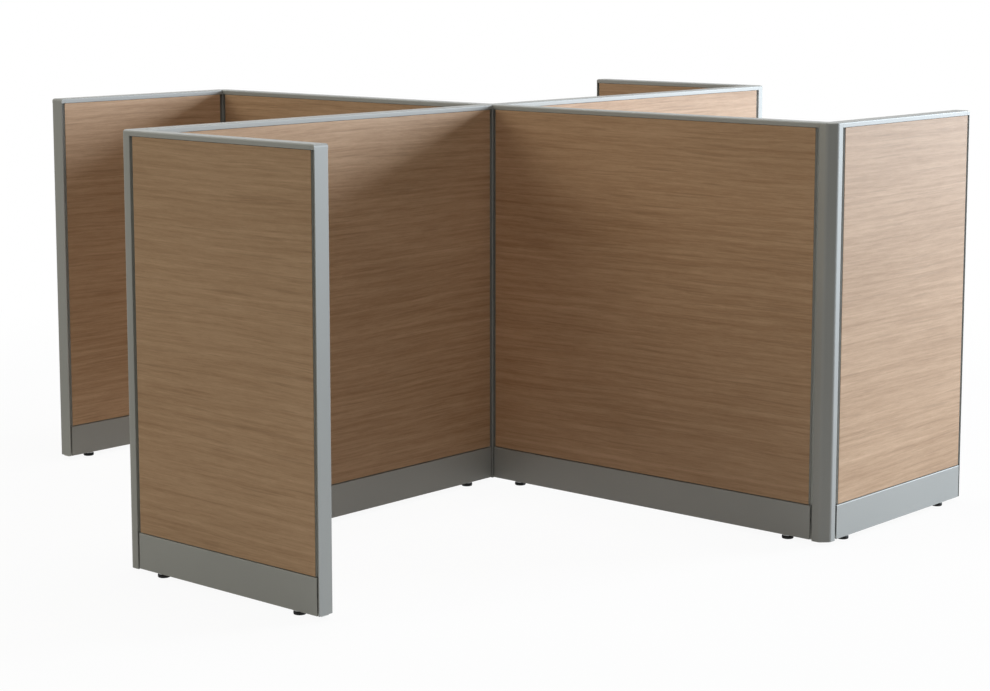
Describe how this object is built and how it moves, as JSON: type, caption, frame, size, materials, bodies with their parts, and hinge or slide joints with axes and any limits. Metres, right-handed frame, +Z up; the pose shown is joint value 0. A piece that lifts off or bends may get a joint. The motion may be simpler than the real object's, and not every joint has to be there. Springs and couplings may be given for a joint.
{
  "type": "office cubicle",
  "caption": "Office partition cluster: spine panels meet in a plus, bevelled corner posts carry return panels, wood-grain tiles, grey caps and skirts, levelling feet.",
  "frame": {"origin": "on the floor, on the vertical axis of the centre post", "axes": "+X and +Y lie along two of the spine panels, +Y along the longer pair, +Z up"},
  "size_m": [2.552, 2.952, 1.2],
  "materials": {
    "grey_metal": "satin powder coat",
    "oak_laminate": "matt oak laminate",
    "frame_steel": "satin powder coat",
    "foot_black": "matt",
    "zinc_steel": "zinc plated"
  },
  "bodies": {
    "partition": {"spine_frame_1": "frame_steel", "spine_frame_2": "frame_steel", "spine_frame_3": "frame_steel", "spine_frame_4": "frame_steel", "spine_tiles_1": "oak_laminate", "spine_tiles_2": "oak_laminate", "spine_tiles_3": "oak_laminate", "spine_tiles_4": "oak_laminate", "spine_skirts_1": "grey_metal", "spine_skirts_2": "grey_metal", "spine_skirts_3": "grey_metal", "spine_skirts_4": "grey_metal", "spine_top_cap_1": "grey_metal", "spine_top_cap_2": "grey_metal", "spine_top_cap_3": "grey_metal", "spine_top_cap_4": "grey_metal", "return_frame_1": "frame_steel", "return_frame_2": "frame_steel", "return_frame_3": "frame_steel", "return_frame_4": "frame_steel", "return_tiles_1": "oak_laminate", "return_tiles_2": "oak_laminate", "return_tiles_3": "oak_laminate", "return_tiles_4": "oak_laminate", "return_skirts_1": "grey_metal", "return_skirts_2": "grey_metal", "return_skirts_3": "grey_metal", "return_skirts_4": "grey_metal", "return_top_cap_1": "grey_metal", "return_top_cap_2": "grey_metal", "return_top_cap_3": "grey_metal", "return_top_cap_4": "grey_metal", "corner_post_1": "grey_metal", "corner_post_2": "grey_metal", "corner_post_3": "grey_metal", "corner_post_4": "grey_metal", "centre_post": "grey_metal", "post_caps": "grey_metal", "end_caps": "grey_metal", "end_trims": "grey_metal", "foot_brackets": "frame_steel", "joining_strips": "frame_steel", "joining_fasteners": "zinc_steel"},
    "spine_foot_1_near": {"spine_foot_1_near": "foot_black"},
    "spine_foot_1_far": {"spine_foot_1_far": "foot_black"},
    "spine_foot_2_near": {"spine_foot_2_near": "foot_black"},
    "spine_foot_2_far": {"spine_foot_2_far": "foot_black"},
    "spine_foot_3_near": {"spine_foot_3_near": "foot_black"},
    "spine_foot_3_far": {"spine_foot_3_far": "foot_black"},
    "spine_foot_4_near": {"spine_foot_4_near": "foot_black"},
    "spine_foot_4_far": {"spine_foot_4_far": "foot_black"},
    "return_foot_1_near": {"return_foot_1_near": "foot_black"},
    "return_foot_1_far": {"return_foot_1_far": "foot_black"},
    "return_foot_2_near": {"return_foot_2_near": "foot_black"},
    "return_foot_2_far": {"return_foot_2_far": "foot_black"},
    "return_foot_3_near": {"return_foot_3_near": "foot_black"},
    "return_foot_3_far": {"return_foot_3_far": "foot_black"},
    "return_foot_4_near": {"return_foot_4_near": "foot_black"},
    "return_foot_4_far": {"return_foot_4_far": "foot_black"}
  },
  "joints": [
    {"name": "spine_level_1_near", "type": "slide", "parent": "partition", "child": "spine_foot_1_near", "axis": [0, 0, -1], "range_m": [-0.01, 0.02]},
    {"name": "spine_level_1_far", "type": "slide", "parent": "partition", "child": "spine_foot_1_far", "axis": [0, 0, -1], "range_m": [-0.01, 0.02]},
    {"name": "spine_level_2_near", "type": "slide", "parent": "partition", "child": "spine_foot_2_near", "axis": [0, 0, -1], "range_m": [-0.01, 0.02]},
    {"name": "spine_level_2_far", "type": "slide", "parent": "partition", "child": "spine_foot_2_far", "axis": [0, 0, -1], "range_m": [-0.01, 0.02]},
    {"name": "spine_level_3_near", "type": "slide", "parent": "partition", "child": "spine_foot_3_near", "axis": [0, 0, -1], "range_m": [-0.01, 0.02]},
    {"name": "spine_level_3_far", "type": "slide", "parent": "partition", "child": "spine_foot_3_far", "axis": [0, 0, -1], "range_m": [-0.01, 0.02]},
    {"name": "spine_level_4_near", "type": "slide", "parent": "partition", "child": "spine_foot_4_near", "axis": [0, 0, -1], "range_m": [-0.01, 0.02]},
    {"name": "spine_level_4_far", "type": "slide", "parent": "partition", "child": "spine_foot_4_far", "axis": [0, 0, -1], "range_m": [-0.01, 0.02]},
    {"name": "return_level_1_near", "type": "slide", "parent": "partition", "child": "return_foot_1_near", "axis": [0, 0, -1], "range_m": [-0.01, 0.02]},
    {"name": "return_level_1_far", "type": "slide", "parent": "partition", "child": "return_foot_1_far", "axis": [0, 0, -1], "range_m": [-0.01, 0.02]},
    {"name": "return_level_2_near", "type": "slide", "parent": "partition", "child": "return_foot_2_near", "axis": [0, 0, -1], "range_m": [-0.01, 0.02]},
    {"name": "return_level_2_far", "type": "slide", "parent": "partition", "child": "return_foot_2_far", "axis": [0, 0, -1], "range_m": [-0.01, 0.02]},
    {"name": "return_level_3_near", "type": "slide", "parent": "partition", "child": "return_foot_3_near", "axis": [0, 0, -1], "range_m": [-0.01, 0.02]},
    {"name": "return_level_3_far", "type": "slide", "parent": "partition", "child": "return_foot_3_far", "axis": [0, 0, -1], "range_m": [-0.01, 0.02]},
    {"name": "return_level_4_near", "type": "slide", "parent": "partition", "child": "return_foot_4_near", "axis": [0, 0, -1], "range_m": [-0.01, 0.02]},
    {"name": "return_level_4_far", "type": "slide", "parent": "partition", "child": "return_foot_4_far", "axis": [0, 0, -1], "range_m": [-0.01, 0.02]}
  ]
}
